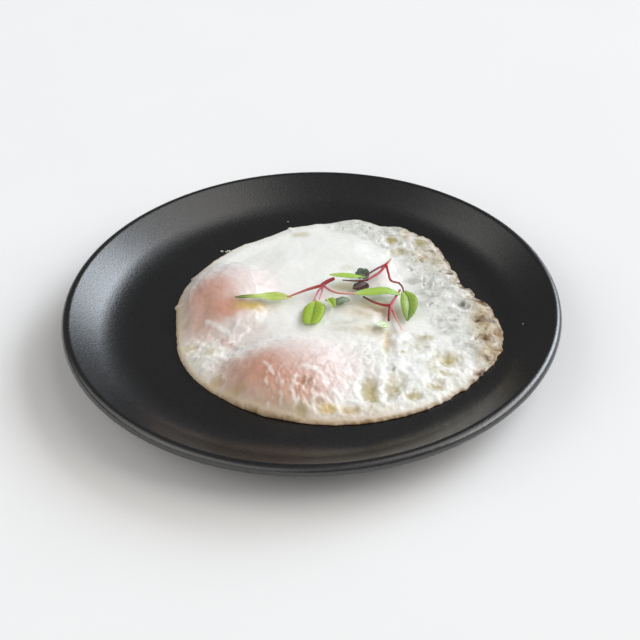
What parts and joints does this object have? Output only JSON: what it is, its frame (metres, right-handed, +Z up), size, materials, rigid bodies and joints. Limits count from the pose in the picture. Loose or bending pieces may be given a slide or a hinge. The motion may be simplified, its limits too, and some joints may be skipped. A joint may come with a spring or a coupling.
{
  "type": "fried eggs on a plate",
  "caption": "Fried eggs set in one sheet of white, with filmed yolks and a lacy browned edge, on a black coupe plate with microgreens.",
  "frame": {"origin": "middle of the plate's foot ring, on the table", "axes": "+Z up along the plate's axis, +X to the diner's right, +Y away from the diner"},
  "size_m": [0.22, 0.22, 0.0229],
  "materials": {
    "stoneware": "satin black glaze",
    "egg_white": "set egg white, moist, browned at the lacy edge",
    "filmed_yolk": "yolk under a thin film of white, moist",
    "red_stem": "fresh stem, slightly translucent",
    "green_leaf": "fresh leaf, waxy",
    "dark_leaf": "fresh dark leaf, waxy"
  },
  "bodies": {
    "root": {"plate": "stoneware", "egg_white": "egg_white", "yolk_left": "filmed_yolk", "yolk_front": "filmed_yolk", "sprig_a_stem": "red_stem", "sprig_b_stem": "red_stem", "sprig_c_stem": "red_stem", "leaf_a_long": "green_leaf", "leaf_a_heart": "green_leaf", "leaf_a_right": "green_leaf", "leaf_b_top": "green_leaf", "leaf_b_grey": "dark_leaf", "leaf_b_dark": "dark_leaf", "leaf_b_lobed": "green_leaf", "leaf_c_pale": "green_leaf", "leaf_c_curl": "green_leaf", "leaf_c_grey": "dark_leaf"}
  },
  "joints": []
}
